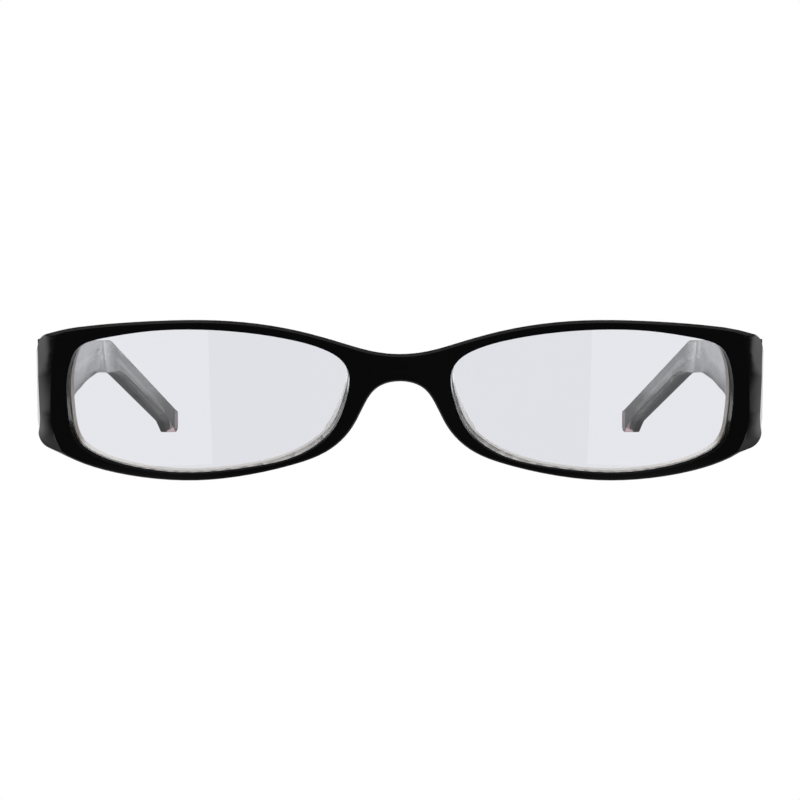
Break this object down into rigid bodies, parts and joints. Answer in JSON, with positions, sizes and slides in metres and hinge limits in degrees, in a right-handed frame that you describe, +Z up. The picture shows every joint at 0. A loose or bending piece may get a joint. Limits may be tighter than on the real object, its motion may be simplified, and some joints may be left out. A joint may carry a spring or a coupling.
{
  "type": "eyeglass frame",
  "caption": "Narrow wrap-fitting plastic eyeglass frame with a laminated black front, clear demo lenses, nose pads and folding arms.",
  "frame": {"origin": "middle of the footprint at floor level, arms open, standing on the rims and the arm tips", "axes": "+Z up, the front faces -Y, +X is the wearer's left"},
  "size_m": [0.137, 0.1494, 0.0302],
  "materials": {
    "black_acetate": "polished",
    "clear_acetate": "polished, see-through, warm tint",
    "smoke_acetate": "polished, see-through, smoky",
    "pad_acetate": "polished, see-through",
    "lens": "clear demo lens",
    "hinge_metal": "polished nickel",
    "screw_metal": "machined",
    "core_metal": "satin"
  },
  "bodies": {
    "front": {"front_face_layer": "black_acetate", "front_back_layer": "clear_acetate", "lens_left": "lens", "lens_right": "lens", "nose_pad_left": "pad_acetate", "nose_pad_right": "pad_acetate", "front_hinge_leaf_left": "hinge_metal", "front_hinge_leaf_right": "hinge_metal", "hinge_screw_left": "screw_metal", "hinge_screw_right": "screw_metal"},
    "arm_left": {"temple_hinge_leaf_left": "hinge_metal", "temple_outer_layer_left": "black_acetate", "temple_inner_layer_left": "smoke_acetate", "core_wire_left": "core_metal"},
    "arm_right": {"temple_hinge_leaf_right": "hinge_metal", "temple_outer_layer_right": "black_acetate", "temple_inner_layer_right": "smoke_acetate", "core_wire_right": "core_metal"}
  },
  "joints": [
    {"name": "fold_left", "type": "hinge", "parent": "front", "child": "arm_left", "pos_m": [0.0627, -0.05954, 0.01737], "axis": [0, -0.1994, 0.9799], "range_deg": [0, 90]},
    {"name": "fold_right", "type": "hinge", "parent": "front", "child": "arm_right", "pos_m": [-0.0627, -0.05954, 0.01737], "axis": [0, 0.1994, -0.9799], "range_deg": [0, 85]}
  ]
}
